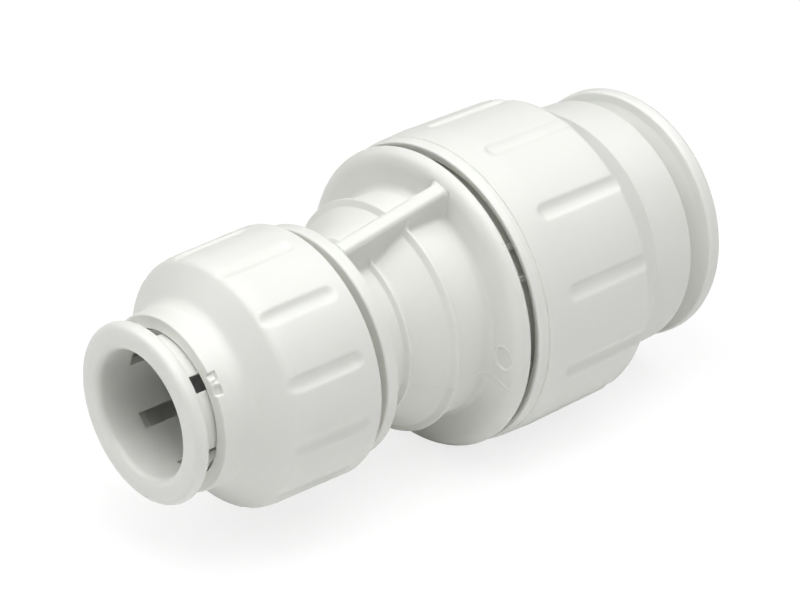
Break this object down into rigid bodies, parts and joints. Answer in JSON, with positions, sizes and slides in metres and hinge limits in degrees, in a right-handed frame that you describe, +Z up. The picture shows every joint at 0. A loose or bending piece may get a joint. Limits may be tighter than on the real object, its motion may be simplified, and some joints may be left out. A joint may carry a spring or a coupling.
{
  "type": "push to connect fitting",
  "caption": "Straight push to connect reducing coupler for plastic or copper water tube, with a release collet and a fluted twist-to-lock screw cap at each end of a ribbed body.",
  "frame": {"origin": "on the fitting's axis at mid-length, halfway between the two collet faces", "axes": "+X along the fitting's axis, towards the 22 mm end; +Z up, with the moulded neck ribs rolled 17 degrees from +Z towards -Y"},
  "size_m": [0.079, 0.0392, 0.0392],
  "materials": {
    "white_body": "satin, injection moulded",
    "white_cap": "satin, injection moulded",
    "white_collet": "semi-gloss, injection moulded acetal",
    "grey_spacer": "satin, injection moulded",
    "black_rubber": "lightly greased moulded rubber",
    "spring_steel": "bright rolled stainless strip"
  },
  "bodies": {
    "body": {"body": "white_body", "o_ring_15": "black_rubber", "o_ring_22": "black_rubber"},
    "seal_follower_15": {"spacer_ring_15": "grey_spacer"},
    "cap_15": {"cap_15": "white_cap"},
    "collet_15": {"collet_15": "white_collet", "grip_tooth_15_1": "spring_steel", "grip_tooth_15_2": "spring_steel", "grip_tooth_15_3": "spring_steel", "grip_tooth_15_4": "spring_steel", "grip_tooth_15_5": "spring_steel", "grip_tooth_15_6": "spring_steel"},
    "seal_follower_22": {"spacer_ring_22": "grey_spacer"},
    "cap_22": {"cap_22": "white_cap"},
    "collet_22": {"collet_22": "white_collet", "grip_tooth_22_1": "spring_steel", "grip_tooth_22_2": "spring_steel", "grip_tooth_22_3": "spring_steel", "grip_tooth_22_4": "spring_steel", "grip_tooth_22_5": "spring_steel", "grip_tooth_22_6": "spring_steel", "grip_tooth_22_7": "spring_steel", "grip_tooth_22_8": "spring_steel"}
  },
  "joints": [
    {"name": "spacer_15_advance", "type": "slide", "parent": "body", "child": "seal_follower_15", "axis": [1, 0, 0], "range_m": [0, 0.00051]},
    {"name": "cap_15_twist", "type": "hinge", "parent": "seal_follower_15", "child": "cap_15", "pos_m": [-0.024, 0, 0], "axis": [1, 0, 0], "range_deg": [0, 90]},
    {"name": "collet_15_release", "type": "slide", "parent": "seal_follower_15", "child": "collet_15", "axis": [1, 0, 0], "range_m": [0, 0.0015]},
    {"name": "spacer_22_advance", "type": "slide", "parent": "body", "child": "seal_follower_22", "axis": [-1, 0, 0], "range_m": [0, 0.00051]},
    {"name": "cap_22_twist", "type": "hinge", "parent": "seal_follower_22", "child": "cap_22", "pos_m": [0.018, 0, 0], "axis": [-1, 0, 0], "range_deg": [0, 90]},
    {"name": "collet_22_release", "type": "slide", "parent": "seal_follower_22", "child": "collet_22", "axis": [-1, 0, 0], "range_m": [0, 0.0016]}
  ],
  "couplings": [
    {"joint": "spacer_15_advance", "follows": "cap_15_twist", "m_per_rad": 0.00031831},
    {"joint": "spacer_22_advance", "follows": "cap_22_twist", "m_per_rad": 0.00031831}
  ]
}
